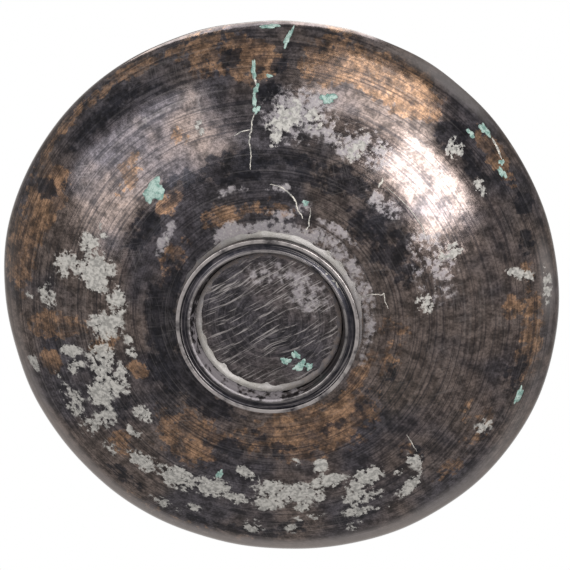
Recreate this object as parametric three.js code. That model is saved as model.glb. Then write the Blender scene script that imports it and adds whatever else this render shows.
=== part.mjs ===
// Shallow silver bowl, raised from one sheet, on a foot ring that is soldered to its underside.
// Millimetres, +Z up. The origin is the centre of the plane that the foot stands on.
import * as THREE from "three";

// Bowl
const rimRadius = 110;
const bowlHeight = 42;
const undersideHeight = 6.4;
const bellyFullness = 2.2;
const wallThickness = 1.2;
const rimThickness = 2.2;
const rimThickeningLength = 12;

// Foot ring
const footRadius = 35.5;
const footWaistInset = 1.2;
const beadHeight = 1.1;
const standingFaceWidth = 0.8;
const standingFaceInset = 0.5;
const channelDepth = 0.8;
const channelWidth = 3.1;
const innerLipHeight = 0.35;
const innerLipWidth = 0.9;
const innerWallLean = 1.8;

// Solder
const jointClearance = 0.3;
const outerSeamReach = 2.6;
const outerSeamHeight = 2.2;
const innerSeamReach = 2.4;
const innerSeamHeight = 2.2;

// Fineness of the facets
const turnSegments = 72;
const wallSteps = 20;
const curveSteps = 3;
const roundingSteps = 3;

const wallRise = bowlHeight - rimThickness / 2 - undersideHeight;

const patinatedSilver = { color: 0x5a4f4a, metalness: 0.9, roughness: 0.42 };
const wornSilver = { color: 0x4a4a4c, metalness: 0.9, roughness: 0.38 };
const greySolder = { color: 0x8e8a88, metalness: 0.6, roughness: 0.62 };

// The outer wall is a quarter of a superellipse: the angle t runs from 0 at the axis to a right angle
// where the rim's rounding starts, the radius is a power of its sine, and the height follows its cosine.
function outerWallPoint(t) {
  const radius = rimRadius * Math.pow(Math.sin(t), 2 / bellyFullness);
  const height = undersideHeight + wallRise * (1 - Math.cos(t));
  return new THREE.Vector2(radius, height);
}

// Height of the underside at a given radius, from the same superellipse.
function undersideAt(radius) {
  const share = Math.pow(radius / rimRadius, bellyFullness);
  return undersideHeight + wallRise * (1 - Math.sqrt(1 - share));
}

// The wall has one thickness up to a band below the rim, then grows smoothly to the rim's own.
function thicknessAt(height) {
  const belowRim = bowlHeight - height;
  const share = THREE.MathUtils.clamp(1 - belowRim / rimThickeningLength, 0, 1);
  return wallThickness + (rimThickness - wallThickness) * share * share * (3 - 2 * share);
}

function outerWall() {
  const points = [];
  for (let step = 0; step <= wallSteps; step += 1) {
    points.push(outerWallPoint((Math.PI / 2) * (step / wallSteps)));
  }
  return points;
}

// Each point of the outer wall, moved inwards square to the wall by the wall's thickness there: straight
// up at the axis and level at the rim.
function innerWall(outer) {
  const last = outer.length - 1;
  return outer.map((point, index) => {
    const inwards = new THREE.Vector2(index === last ? -1 : 0, index === 0 ? 1 : 0);
    if (index > 0 && index < last) {
      const along = outer[index + 1].clone().sub(outer[index - 1]).normalize();
      inwards.set(-along.y, along.x);
    }
    return point.clone().addScaledVector(inwards, thicknessAt(point.y));
  });
}

// Half a circle from the outer wall's end over to the inner wall's end, without its two ends.
function rimRounding() {
  const rounding = new THREE.Path();
  const middleRadius = rimRadius - rimThickness / 2;
  rounding.absarc(middleRadius, bowlHeight - rimThickness / 2, rimThickness / 2, 0, Math.PI, false);
  return rounding.getPoints(roundingSteps).slice(1, -1);
}

function bowlBodyProfile() {
  const outer = outerWall();
  return [...outer, ...rimRounding(), ...innerWall(outer).reverse()];
}

// A run of points that stays one clearance below the underside, from one radius to another.
function underBowl(fromRadius, toRadius) {
  const points = [];
  for (let step = 0; step <= curveSteps; step += 1) {
    const radius = THREE.MathUtils.lerp(fromRadius, toRadius, step / curveSteps);
    points.push(new THREE.Vector2(radius, undersideAt(radius) - jointClearance));
  }
  return points;
}

const footWaistRadius = footRadius - footWaistInset;
const standingOuterRadius = footRadius - standingFaceInset;
const standingInnerRadius = standingOuterRadius - standingFaceWidth;
const channelOuterRadius = standingInnerRadius - standingFaceInset;
const channelInnerRadius = channelOuterRadius - channelWidth;
const innerWallRadius = channelInnerRadius - innerLipWidth;
const innerWallTopRadius = innerWallRadius - innerWallLean;

// Radius of the foot's inner wall at a height, on the straight line from its lip to its top.
function innerWallRadiusAt(height) {
  const lipTop = innerLipHeight + innerLipWidth;
  const wallTop = undersideAt(innerWallTopRadius) - jointClearance;
  return innerWallRadius - (innerWallLean * (height - lipTop)) / (wallTop - lipTop);
}

// The foot's section: down its leaning inner wall, round the inner lip, along the channel in its
// underside, round the bead that it stands on, up its drawn-in outer side and back under the bowl.
function footRingProfile() {
  const section = new THREE.Path();
  section.moveTo(innerWallRadius, innerLipHeight + innerLipWidth);
  section.quadraticCurveTo(innerWallRadius, innerLipHeight, channelInnerRadius, innerLipHeight);
  section.quadraticCurveTo(channelOuterRadius, channelDepth * 2, channelOuterRadius, standingFaceInset);
  section.quadraticCurveTo(channelOuterRadius, 0, standingInnerRadius, 0);
  section.lineTo(standingOuterRadius, 0);
  section.quadraticCurveTo(footRadius, 0, footRadius, beadHeight);
  section.quadraticCurveTo(footWaistRadius, 2 * beadHeight, footWaistRadius, 3 * beadHeight);
  return [...section.getPoints(curveSteps), ...underBowl(footWaistRadius, innerWallTopRadius)];
}

// Outer solder: it fills the corner between the foot's side and the bowl, with a hollow face.
function outerSeamProfile() {
  const wallRadius = footWaistRadius + jointClearance;
  const reachRadius = wallRadius + outerSeamReach;
  const cornerHeight = undersideAt(wallRadius) - jointClearance;
  const face = new THREE.Path();
  face.moveTo(reachRadius, undersideAt(reachRadius) - jointClearance);
  face.quadraticCurveTo(wallRadius, cornerHeight, wallRadius, cornerHeight - outerSeamHeight);
  const hollowFace = face.getPoints(curveSteps).reverse();
  return [...hollowFace, ...underBowl(reachRadius, wallRadius).slice(1)];
}

// Inner solder: the same in the corner between the foot's inner wall and the floor it encloses.
function innerSeamProfile() {
  const topRadius = innerWallTopRadius - jointClearance;
  const reachRadius = topRadius - innerSeamReach;
  const cornerHeight = undersideAt(topRadius) - jointClearance;
  const lowHeight = cornerHeight - innerSeamHeight;
  const lowRadius = innerWallRadiusAt(lowHeight) - jointClearance;
  const face = new THREE.Path();
  face.moveTo(reachRadius, undersideAt(reachRadius) - jointClearance);
  face.quadraticCurveTo(topRadius, cornerHeight, lowRadius, lowHeight);
  const hollowFace = face.getPoints(curveSteps);
  return [...hollowFace, ...underBowl(topRadius, reachRadius).slice(0, -1)];
}

// Turns a profile round the bowl's axis. A ring's profile is closed by repeating its first point.
function turned(name, profile, finish, isRing) {
  const points = isRing ? [...profile, profile[0].clone()] : profile;
  const geometry = new THREE.LatheGeometry(points, turnSegments);
  geometry.rotateX(Math.PI / 2);
  const mesh = new THREE.Mesh(geometry, new THREE.MeshStandardMaterial(finish));
  mesh.name = name;
  return mesh;
}

const bowl = new THREE.Group();
bowl.add(turned("bowl_body", bowlBodyProfile(), patinatedSilver, false));
bowl.add(turned("foot_ring", footRingProfile(), wornSilver, true));
bowl.add(turned("solder_seam_outer", outerSeamProfile(), greySolder, true));
bowl.add(turned("solder_seam_inner", innerSeamProfile(), greySolder, true));

export default bowl;
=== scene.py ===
"""Shallow silver bowl on a foot ring, with its patina, its corrosion and a plain studio."""

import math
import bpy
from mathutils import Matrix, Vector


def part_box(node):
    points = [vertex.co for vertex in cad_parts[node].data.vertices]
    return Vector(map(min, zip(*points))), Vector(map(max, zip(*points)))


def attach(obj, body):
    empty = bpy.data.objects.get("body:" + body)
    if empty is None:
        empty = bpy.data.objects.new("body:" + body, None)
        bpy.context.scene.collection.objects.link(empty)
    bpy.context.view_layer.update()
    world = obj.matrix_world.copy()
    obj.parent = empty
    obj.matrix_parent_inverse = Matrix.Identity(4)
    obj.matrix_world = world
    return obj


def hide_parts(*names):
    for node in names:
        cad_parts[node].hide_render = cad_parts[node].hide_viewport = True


bl_info = {
    "name": "Silver Bowl",
    "version": (1, 0, 0),
    "blender": (4, 5, 0),
    "location": "3D View > Sidebar > Silver Bowl",
    "description": "Makes a patinated silver bowl on a foot ring, and a studio for it",
    "category": "Object",
}

import bpy
import numpy as np
from mathutils import Matrix, Vector

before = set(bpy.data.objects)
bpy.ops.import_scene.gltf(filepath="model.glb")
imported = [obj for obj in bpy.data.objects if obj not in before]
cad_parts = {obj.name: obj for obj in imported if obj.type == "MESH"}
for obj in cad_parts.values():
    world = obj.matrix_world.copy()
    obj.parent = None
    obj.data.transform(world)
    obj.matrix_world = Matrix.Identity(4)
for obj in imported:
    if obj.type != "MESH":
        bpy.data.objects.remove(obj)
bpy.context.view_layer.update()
body_low, body_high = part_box("bowl_body")
foot_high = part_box("foot_ring")[1]

MM = 0.001

# How fine the meshes are: points round the axis, along a section, and on each crust and vein.
BODY_AROUND = 480
RING_AROUND = 360
OUTER_WALL_POINTS = 108
INNER_WALL_POINTS = 60
RIM_POINTS = 11
CRUST_RINGS = 9
CRUST_SPOKES = 32
VEIN_STEPS = 14
VEIN_SIDES = 8

# The hammer's waves in the wall: their depth and their mean spacing.
HAMMER_DEPTH = 0.10 * MM
HAMMER_SPACING = 36 * MM

# Solder: how far it overlaps the foot, reaches over the bowl and comes down the foot.
SEAM_OVERLAP = 0.2 * MM
OUTER_SEAM_REACH = 2.7 * MM
OUTER_SEAM_LOW = 5.5 * MM
INNER_SEAM_REACH = 2.6 * MM
INNER_SEAM_LOW = 4.9 * MM
SEAM_LUMPS = 0.07 * MM
SEAM_LUMP_SPACING = 7 * MM

# Crusts and veins: how deep a crust's edge sits in the wall, and how far a vein wanders.
CRUST_EDGE_DEPTH = 0.12 * MM
CRUST_ROOT_DEPTH = 0.4 * MM
CHANNEL_ROOF = 0.85 * MM
VEIN_WANDER = 0.4 * MM
VEIN_TIP = 0.2 * MM

# The rim is hand-worked and not quite round: angle, half-width in degrees, amount in mm.
RIM_SWELLS = (
    (281, 24, 1.1),
    (104, 16, 0.6),
    (170, 9, 0.5),
    (20, 24, 0.25),
    (70, 20, -0.6),
    (345, 18, -0.45),
    (150, 10, -0.4),
    (220, 30, -0.45),
    (320, 16, -0.5),
)

# Corrosion and patina on the outside, with a painted shadow beside the foot, one painted glint and a painted
# sheen along the rim: angle in degrees, radius in mm, half-length round the bowl and half-width across
# the wall in mm, turn in degrees, strength.
HORN_SILVER_AND_GLINT = (
    (54, 65, 3.0, 3.2, 0, 0.95),
    (63, 61, 3.4, 2.2, 20, 0.55),
    (54, 72, 6.5, 3.0, 0, 0.85),
    (44, 77, 8.5, 4.6, 10, 0.95),
    (47, 84, 8.0, 3.6, -8, 0.85),
    (59, 77, 7.0, 5.0, 0, 0.8),
    (69, 74, 10.5, 5.2, -6, 1.0),
    (72, 80, 7.0, 3.6, 15, 0.8),
    (80, 67, 4.2, 3.0, -25, 0.8),
    (82, 80, 5.4, 2.8, 0, 0.9),
    (89, 78, 8.0, 4.6, 0, 0.95),
    (28.5, 82, 2.9, 4.2, 0, 0.75),
    (35, 89.5, 7.5, 2.5, 12, 0.75),
    (48, 91, 9.5, 2.4, -12, 0.7),
    (62, 88.5, 7.0, 1.6, 0, 0.5),
    (10.5, 94, 3.8, 3.4, 20, 0.6),
    (34, 81, 2.2, 1.3, 0, 0.6),
    (53, 97.5, 6.0, 2.6, 0, 0.55),
    (67, 94, 3.4, 2.4, 0, 0.5),
    (77, 93, 5.0, 4.2, 0, 0.48),
    (64, 83, 3.2, 2.6, 0, 0.6),
    (92, 91, 3.2, 2.0, 0, 0.55),
    (100, 80, 9.0, 5.4, 0, 0.95),
    (110, 83, 7.0, 4.0, 15, 0.9),
    (118.5, 75, 4.2, 2.0, 0, 0.95),
    (121.5, 66, 4.2, 3.6, 0, 0.85),
    (132.5, 67, 3.4, 4.6, 0, 0.9),
    (139, 65, 4.6, 4.0, 0, 0.85),
    (144, 70, 6.5, 6.0, -20, 0.95),
    (133, 78, 6.4, 4.6, 10, 0.95),
    (137, 73, 5.0, 3.6, 0, 0.9),
    (126, 82, 4.0, 5.0, 0, 0.85),
    (126, 91, 4.0, 4.4, 0, 0.52),
    (134, 90, 8.0, 4.4, 0, 0.62),
    (143, 83, 2.6, 4.4, 20, 0.85),
    (148, 82, 2.4, 4.2, 0, 0.85),
    (142, 91, 1.9, 1.7, 0, 0.8),
    (145, 101, 3.6, 2.4, 0, 0.7),
    (144.5, 57, 2.6, 2.0, 0, 0.6),
    (150, 57, 2.4, 2.0, 0, 0.5),
    (156, 65, 5.4, 6.8, 10, 0.95),
    (166, 60, 5.6, 3.8, 0, 0.85),
    (171, 69, 5.2, 4.6, 0, 0.9),
    (175.5, 70, 6.2, 7.0, 0, 0.95),
    (173, 81, 5.2, 5.6, -15, 0.95),
    (164, 88, 6.0, 4.0, 0, 0.66),
    (162, 96.5, 1.6, 1.6, 0, 0.7),
    (181.5, 75, 4.0, 5.0, 0, 0.62),
    (187.5, 72, 3.2, 3.0, 0, 0.52),
    (99, 95.5, 6.6, 2.6, 0, 0.68),
    (119, 89, 5.0, 2.4, 0, 0.5),
    (253.5, 76, 4.6, 8.0, 0, 0.60),
    (257, 82, 3.6, 7.0, 10, 0.50),
    (263, 79, 4.0, 4.4, 0, 0.52),
    (231, 79, 1.6, 3.0, 0, 0.55),
    # A painted glint, laid in as a small pale patch.
    (217, 90, 2.2, 1.6, 0, 0.5),
    (278, 76, 5.0, 6.0, 0, 0.5),
    (297.5, 96, 3.6, 3.4, 0, 0.6),
    (308.5, 95, 3.4, 1.9, 0, 0.8),
    (331.5, 97, 2.0, 6.4, -32, 0.66),
    (333, 60, 5.0, 3.6, 0, 0.52),
    (319, 75, 3.6, 6.0, 0, 0.5),
    (336, 106, 8.0, 1.8, 0, 0.5),
)
BROWN_PATINA = (
    (50, 49, 30, 12, 0, 0.95),
    (12, 41, 12, 3.4, 0, 0.7),
    (27, 75, 3.0, 6.0, 0, 0.6),
    (24, 95, 9.0, 4.0, 0, 0.55),
    (10, 90, 12, 8.0, 0, 0.42),
    (105, 60, 15, 12, 0, 0.9),
    (118, 83, 6.0, 7.0, 0, 0.9),
    (145, 92, 6.0, 4.6, 0, 1.0),
    (150, 67, 3.8, 8.0, 20, 0.95),
    (155, 87, 6.0, 14, 0, 0.9),
    (137, 57, 4.6, 4.6, 0, 0.9),
    (172, 101, 19, 7.5, 0, 1.0),
    (187, 98, 14, 8.0, 0, 0.95),
    (215, 107, 50, 2.2, 0, 0.7),
    (211, 60, 10, 4.0, 12, 0.85),
    (226, 45, 9.0, 5.0, 0, 0.75),
    (250, 45, 11, 4.0, 0, 0.6),
    (193, 44, 12, 5.0, 0, 0.6),
    (207, 78, 12, 5.0, 25, 0.55),
    (225, 79, 5.0, 4.0, 0, 0.5),
    (239, 103, 15, 7.0, 0, 0.85),
    (247, 98, 10, 7.5, 0, 0.95),
    (264, 101, 14, 8.5, 0, 0.9),
    (280, 100, 20, 8.5, 0, 1.0),
    (305, 104.5, 14, 3.4, 0, 0.9),
    (339, 93, 5.0, 3.6, 0, 0.75),
    (345, 100, 26, 5.0, 0, 0.7),
    (352, 47, 14, 8.0, 0, 0.42),
    (95, 102, 34, 3.6, 0, 0.4),
)
BLACK_PATINA_AND_SHADOW = (
    # These four: a painted shadow of the foot on the wall beside it, over dark patina.
    (122, 43, 26, 6.0, 0, 1.0),
    (133, 50, 14, 4.0, 0, 0.8),
    (160, 44, 14, 5.0, 0, 0.8),
    (165, 41, 22, 6.0, 0, 1.0),
    (240, 62, 14, 7.0, 0, 0.9),
    (218, 64, 9.0, 4.4, 0, 0.8),
    (196, 60, 12, 6.0, 0, 0.7),
    (272, 62, 20, 6.0, 0, 0.8),
    (305, 55, 22, 9.0, 0, 0.75),
    (251, 88, 5.5, 4.0, 0, 0.95),
    (253, 97, 3.6, 3.0, 0, 1.0),
    (242, 101, 5.0, 4.0, 0, 1.0),
    (188, 100, 4.6, 5.0, 0, 0.9),
    (212, 100, 22, 3.4, 0, 0.75),
    (295, 98, 6.0, 6.0, 0, 1.0),
    (303, 96, 12, 3.6, 0, 0.75),
    (317, 105, 5.0, 3.4, 0, 0.9),
    (325, 101, 6.0, 3.6, 0, 0.8),
    (82, 97, 26, 3.2, 0, 0.75),
    (112, 95, 12, 4.0, 0, 0.6),
    (42, 50, 7.0, 3.0, 0, 0.7),
    (67, 55, 6.0, 4.0, 0, 0.75),
    (78, 49, 5.0, 3.4, 0, 0.7),
    (88, 57, 6.0, 6.0, 0, 0.7),
    (15, 50, 14, 5.0, 0, 0.5),
    (27, 78, 5.0, 6.0, 0, 0.8),
    (62, 92, 20, 4.0, 0, 0.55),
    (128, 73, 12, 9.0, 0, 0.5),
    (355, 96, 12, 6.0, 0, 0.5),
)
PALE_FILM = (
    (228, 38, 6.0, 4.0, 0, 0.85),
    (252, 37, 20, 3.0, 0, 1.0),
    (285, 38, 17, 4.4, 0, 0.8),
    (318, 38.5, 14, 3.2, 0, 0.6),
    (350, 39, 12, 2.4, 0, 0.45),
    (199, 51, 8.0, 2.0, 12, 0.72),
    (236, 53, 7.0, 1.6, 0, 0.6),
    (257, 53, 6.0, 1.4, 10, 0.75),
    (265, 46, 5.0, 2.4, 40, 0.7),
    (287, 45.5, 9.0, 1.6, 0, 0.62),
    (255, 43, 5.0, 2.2, 0, 0.5),
    (305, 19, 9.0, 7.0, 0, 0.5),
    (258, 80, 13, 10, 0, 0.62),
    (277, 77, 13, 7.0, 0, 0.5),
    (294, 64, 8.0, 4.0, 0, 0.35),
    (322, 66, 16, 9.0, 0, 0.36),
    (250, 20, 9.0, 5.0, 0, 0.4),
)
# A lighter band along the rim: rubbed silver, and a painted sheen where the rim catches the light at a
# grazing angle.
RUBBED_RIM_AND_SHEEN = (
    (80, 106.5, 140, 5.4, 0, 1.0),
    (335, 106.5, 16, 2.6, 0, 0.6),
    (288, 109.2, 22, 1.6, 0, 0.7),
)

# Green crusts: angle, radius, half-length round, half-width across, turn, thickness in mm.
GREEN_CRUSTS = (
    (209.3, 66.6, 5.2, 3.3, 0, 0.7),
    (206.2, 66.2, 2.2, 2.0, 0, 0.6),
    (247.4, 81.6, 1.4, 1.5, 0, 0.7),
    (247.0, 85.5, 0.8, 3.2, 6, 0.6),
    (247.6, 89.2, 1.0, 1.8, -10, 0.6),
    (247.0, 95.6, 1.0, 3.3, 8, 0.7),
    (250.6, 93.4, 1.1, 0.8, 0, 0.5),
    (254.0, 105.8, 1.1, 3.0, -16, 0.7),
    (265.4, 88.2, 2.9, 2.0, 0, 0.8),
    (267.6, 49.4, 1.5, 1.0, 0, 0.5),
    (88.7, 70.6, 1.2, 2.4, 0, 0.5),
    (1.2, 101.4, 4.4, 1.0, 0, 0.7),
    (297.9, 102.8, 2.0, 0.9, 0, 0.6),
    (299.6, 106.8, 2.9, 1.1, 0, 0.7),
    (307.0, 105.2, 1.1, 1.0, 0, 0.6),
    (308.8, 103.6, 2.6, 1.0, 0, 0.6),
    (250.0, 109.0, 3.6, 0.5, 0, 0.7),
    (50.0, 17.2, 2.0, 1.6, 0, 0.35),
    (34.0, 16.8, 1.3, 2.2, 0, 0.35),
    (38.0, 21.4, 3.0, 1.7, 0, 0.35),
    (31.0, 23.6, 1.8, 1.3, 0, 0.35),
)
# Pale mineral crumbs in the channel of the foot, in the same order of values.
CHANNEL_CRUMBS = (
    (297.0, 31.6, 0.5, 0.7, 0, 0.3),
    (301.0, 31.2, 0.9, 0.4, 0, 0.3),
    (303.5, 31.8, 1.1, 0.4, 20, 0.3),
    (307.5, 32.2, 1.2, 0.4, -20, 0.3),
    (289.0, 31.8, 0.5, 0.3, 0, 0.2),
)
# Thin pale veins on the outside: half-width in mm, then points of angle and radius in mm.
PALE_VEINS = (
    (0.28, ((244.4, 60), (244.9, 66), (244.8, 71), (245.6, 75), (246.4, 79), (247.3, 81))),
    (0.22, ((240.6, 73), (242.6, 74.2), (245.4, 74.6))),
    (0.40, ((247.0, 86), (247.7, 90), (247.0, 93), (246.8, 98))),
    (0.24, ((272.8, 38), (272.4, 42), (270.6, 48))),
    (0.20, ((324.0, 37), (325.0, 42), (326.0, 45.6), (330.0, 45.2), (333.5, 46))),
    (0.32, ((252.0, 54.2), (257.0, 53.2), (262.0, 50), (265.0, 46), (268.5, 43.4))),
    (0.55, ((301.8, 107), (304.0, 106.6), (306.4, 105.8))),
    (0.45, ((288.6, 71), (289.2, 67.4))),
    (0.45, ((282.4, 80), (284.6, 79.8))),
    (0.18, ((23.8, 71), (24.8, 76), (26.0, 79))),
    (0.18, ((291, 69.2), (300, 69.6), (308, 69.4), (312.4, 68.2))),
)

# Where the softboxes show in the wall: angles and radii in mm of their edges, and their radiance.
KEY_REFLECTION = (286, 313, 72, 90)
KEY_RADIANCE = 14.0
SIDE_REFLECTION = (188, 238, 69, 96)
SIDE_RADIANCE = 3.0
TOP_REFLECTION = (262, 291, 89, 106)
TOP_RADIANCE = 4.0
MIRRORED_REACH = 0.8
OVERHEAD_PLACE = (-0.5, -0.7, 1.3)
OVERHEAD_WIDTH, OVERHEAD_LENGTH = 1.1, 0.9
OVERHEAD_RADIANCE = 5.0

FLOOR_HALF = 3.0
FLOOR_DROP = 0.3 * MM

# The camera looks up from below: its tilt off the bowl's axis, its roll, distance and lens.
CAMERA_TILT = math.radians(20.81)
CAMERA_ROLL = math.radians(19.48)
CAMERA_DISTANCE = 1.30
CAMERA_LENS = 211.7
AIM_RIGHT, AIM_DOWN = 4.34 * MM, -9.20 * MM


def length_property(name, description, default):
    return bpy.props.FloatProperty(
        name=name, description=description, default=default, unit="LENGTH", precision=4
    )


def colour_property(name, description, default):
    return bpy.props.FloatVectorProperty(
        name=name, description=description, default=default, subtype="COLOR", size=3, min=0.0, max=1.0
    )


class BowlSizes(bpy.types.PropertyGroup):
    """Sizes of the bowl and its foot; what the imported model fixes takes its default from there."""

    rim_radius: length_property("Rim radius", "From the axis to the rim", body_high[0])
    bowl_height: length_property("Height", "From the ground to the rim", body_high[2])
    underside_height: length_property("Underside", "Ground to the underside", body_low[2])
    belly_fullness: bpy.props.FloatProperty(
        name="Belly fullness", description="Exponent of the wall's curve: 2 is an ellipse", default=2.2
    )
    wall_thickness: length_property("Wall", "Thickness of the sheet", 1.2 * MM)
    rim_thickness: length_property("Rim", "Thickness at the rim", 2.2 * MM)
    rim_band: length_property("Rim band", "Height of the thickened band", 12 * MM)
    foot_radius: length_property("Foot radius", "Outside of the foot's bead", foot_high[0])
    foot_waist_inset: length_property("Foot waist", "How far the foot's side draws in", 1.2 * MM)
    bead_height: length_property("Bead", "Height of the standing bead", 1.1 * MM)
    standing_face: length_property("Standing face", "Width of the flat on the bead", 0.8 * MM)
    bead_rounding: length_property("Bead rounding", "Rounding on each side of the flat", 0.5 * MM)
    channel_width: length_property("Channel", "Width of the foot's channel", 3.1 * MM)
    channel_depth: length_property("Channel depth", "Depth of the foot's channel", 0.8 * MM)
    lip_height: length_property("Lip", "Height of the inner lip over the ground", 0.35 * MM)
    lip_width: length_property("Lip width", "Width of the inner lip's rounding", 0.9 * MM)
    inner_wall_lean: length_property("Inner lean", "Lean of the foot's inner wall", 1.8 * MM)
    inner_wall_bend: length_property("Inner bend", "Height at which the inner wall bends", 3.6 * MM)


class BowlFinish(bpy.types.PropertyGroup):
    """Colours of the silver, its patina and its corrosion."""

    slate: colour_property("Slate patina", "Cool part of the grey patina", (0.038, 0.034, 0.038))
    umber: colour_property("Umber patina", "Warm part of the grey patina", (0.066, 0.051, 0.045))
    golden_brown: colour_property("Golden brown", "Light part of the brown patina", (0.160, 0.092, 0.052))
    deep_brown: colour_property("Deep brown", "Dark part of the brown patina", (0.054, 0.034, 0.024))
    # Blue-black also paints the shade in the foot's channel and the shadow of the foot on the wall beside
    # it.
    blue_black: colour_property("Blue-black", "Darkest patina", (0.010, 0.010, 0.013))
    horn_light: colour_property("Horn silver", "Light part of the horn silver", (0.350, 0.335, 0.310))
    horn_dark: colour_property("Horn silver shade", "Dark part of the horn silver", (0.180, 0.174, 0.162))
    # The pale film colour also paints the lit side of the foot's inner wall and inner seam.
    pale_film_and_lit_side: colour_property("Pale film", "Whitish film round the foot", (0.210, 0.190, 0.200))
    # Bright silver also paints the sheen along the rim.
    bright_silver: colour_property("Bright silver", "Rubbed metal and scratches", (0.330, 0.300, 0.290))
    verdigris: colour_property("Verdigris", "Body of the green crusts", (0.100, 0.180, 0.155))
    verdigris_pale: colour_property("Pale verdigris", "Bloom on the green crusts", (0.270, 0.350, 0.315))


def smooth_step(values, low, high):
    """0 below low and 1 above high, with a cubic ease between them."""
    share = np.clip((values - low) / (high - low), 0, 1)
    return share * share * (3 - 2 * share)


def degrees_from(angle, centre):
    """Signed degrees from a centre to an angle, between minus and plus a half turn."""
    return (angle - centre + 180) % 360 - 180


def bell_round(angle, centre, width):
    """e to the power of minus the square of the degrees from the centre over the width."""
    return np.exp(-((degrees_from(angle, centre) / width) ** 2))


def wall_rise(sizes):
    return sizes.bowl_height - sizes.rim_thickness / 2 - sizes.underside_height


def outer_curve(sizes, t):
    """Superellipse: the radius follows sin t to the power 2 over fullness, the height 1 - cos t."""
    radius = sizes.rim_radius * np.sin(t) ** (2 / sizes.belly_fullness)
    return radius, sizes.underside_height + wall_rise(sizes) * (1 - np.cos(t))


def curve_angle(sizes, radius):
    """The angle t of the superellipse at a radius."""
    share = np.clip(radius / sizes.rim_radius, 0, 1)
    return np.arcsin(share ** (sizes.belly_fullness / 2))


def inward_normal(sizes, t):
    """Square to the wall towards its inside, from the two derivatives of the superellipse."""
    power = 2 / sizes.belly_fullness
    along_radius = sizes.rim_radius * power * np.maximum(np.sin(t), 1e-9) ** (power - 1) * np.cos(t)
    along_height = wall_rise(sizes) * np.sin(t)
    length = np.hypot(along_radius, along_height)
    return -along_height / length, along_radius / length


def thickness_at(sizes, height):
    """The sheet's thickness, growing smoothly to the rim's over the band below it."""
    near_rim = smooth_step(height, sizes.bowl_height - sizes.rim_band, sizes.bowl_height)
    return sizes.wall_thickness + (sizes.rim_thickness - sizes.wall_thickness) * near_rim


def even_angles(sizes, count):
    """Angles t whose points lie at even distances along the wall."""
    t = np.linspace(0, math.pi / 2, 4000)
    radius, height = outer_curve(sizes, t)
    length = np.concatenate([[0], np.cumsum(np.hypot(np.diff(radius), np.diff(height)))])
    return np.interp(np.linspace(0, length[-1], count), length, t)


def surface_waves(x, y, wavelength, seed):
    """Nine plane waves in random directions and phases, summed to about plus or minus 1."""
    random = np.random.default_rng(seed)
    total = np.zeros_like(x)
    for _ in range(9):
        turn, phase, stretch = random.uniform(0, 2 * math.pi, 2).tolist() + [random.uniform(0.7, 1.5)]
        waves = 2 * math.pi * stretch / wavelength
        total += np.cos(waves * (x * math.cos(turn) + y * math.sin(turn)) + phase)
    return total / 3


def hand_worked(points):
    """Moves points as the hammer left the wall: swells of the rim by angle, faint waves off the foot."""
    x, y, z = points[..., 0], points[..., 1], points[..., 2]
    radius = np.maximum(np.hypot(x, y), 1e-6)
    angle = np.degrees(np.arctan2(y, x))
    swell = sum(amount * MM * bell_round(angle, centre, width) for centre, width, amount in RIM_SWELLS)
    near_rim = smooth_step(radius, 0.055, 0.105)
    off_foot = smooth_step(radius, 0.042, 0.062)
    waves = HAMMER_DEPTH * surface_waves(x, y, HAMMER_SPACING, 3) * off_foot
    grow = 1 + (swell + waves) * near_rim / radius
    return np.stack([x * grow, y * grow, z + waves * (1 - 0.5 * near_rim)], -1)


def wall_place(sizes, angle, radius):
    """Points on the outer wall at angles in radians and radii in metres, with their outward normals."""
    t = curve_angle(sizes, radius)
    across, up = inward_normal(sizes, t)
    _, height = outer_curve(sizes, t)
    around = np.stack([np.cos(angle), np.sin(angle)], -1)
    place = np.concatenate([around * radius[..., None], height[..., None]], -1)
    normal = -np.concatenate([around * across[..., None], up[..., None]], -1)
    return place, normal


def patch_field(angle, radius, patches):
    """1 minus the product of 1 - patch, a patch being strength times exp(-d^4) of its elliptic distance."""
    uncovered = np.ones_like(angle)
    for centre, middle, along, across, turn, strength in patches:
        u = np.radians(degrees_from(angle, centre)) * middle
        v = radius - middle
        lean = math.radians(turn)
        du = (u * math.cos(lean) + v * math.sin(lean)) / along
        dv = (v * math.cos(lean) - u * math.sin(lean)) / across
        uncovered *= 1 - strength * np.exp(-((du * du + dv * dv) ** 2))
    return 1 - uncovered


def capped_faces(rings, around):
    """Quads between rings and a fan at each end; the two end points follow the rings' points."""
    grid = np.arange(rings * around).reshape(rings, around)
    following = np.roll(grid, -1, axis=1)
    quads = np.stack([grid[:-1], following[:-1], following[1:], grid[1:]], -1).reshape(-1, 4)
    first = np.full(around, rings * around)
    start_fan = np.stack([first, following[0], grid[0]], -1)
    end_fan = np.stack([first + 1, grid[-1], following[-1]], -1)
    return quads, np.concatenate([start_fan, end_fan])


def looped_faces(rings, around):
    """Quads between rings, the last ring joined to the first."""
    grid = np.arange(rings * around).reshape(rings, around)
    above = np.roll(grid, -1, axis=0)
    quads = np.stack([grid, np.roll(grid, -1, axis=1), np.roll(above, -1, axis=1), above], -1)
    return quads.reshape(-1, 4), np.zeros((0, 3), int)


def turned_points(profile, around):
    """A profile of radius and height, turned round the axis: one ring for each profile point."""
    angle = np.arange(around) * 2 * math.pi / around
    radius, height = profile[:, :1], profile[:, 1:]
    return np.stack([radius * np.cos(angle), radius * np.sin(angle), height + 0 * angle], -1)


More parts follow.
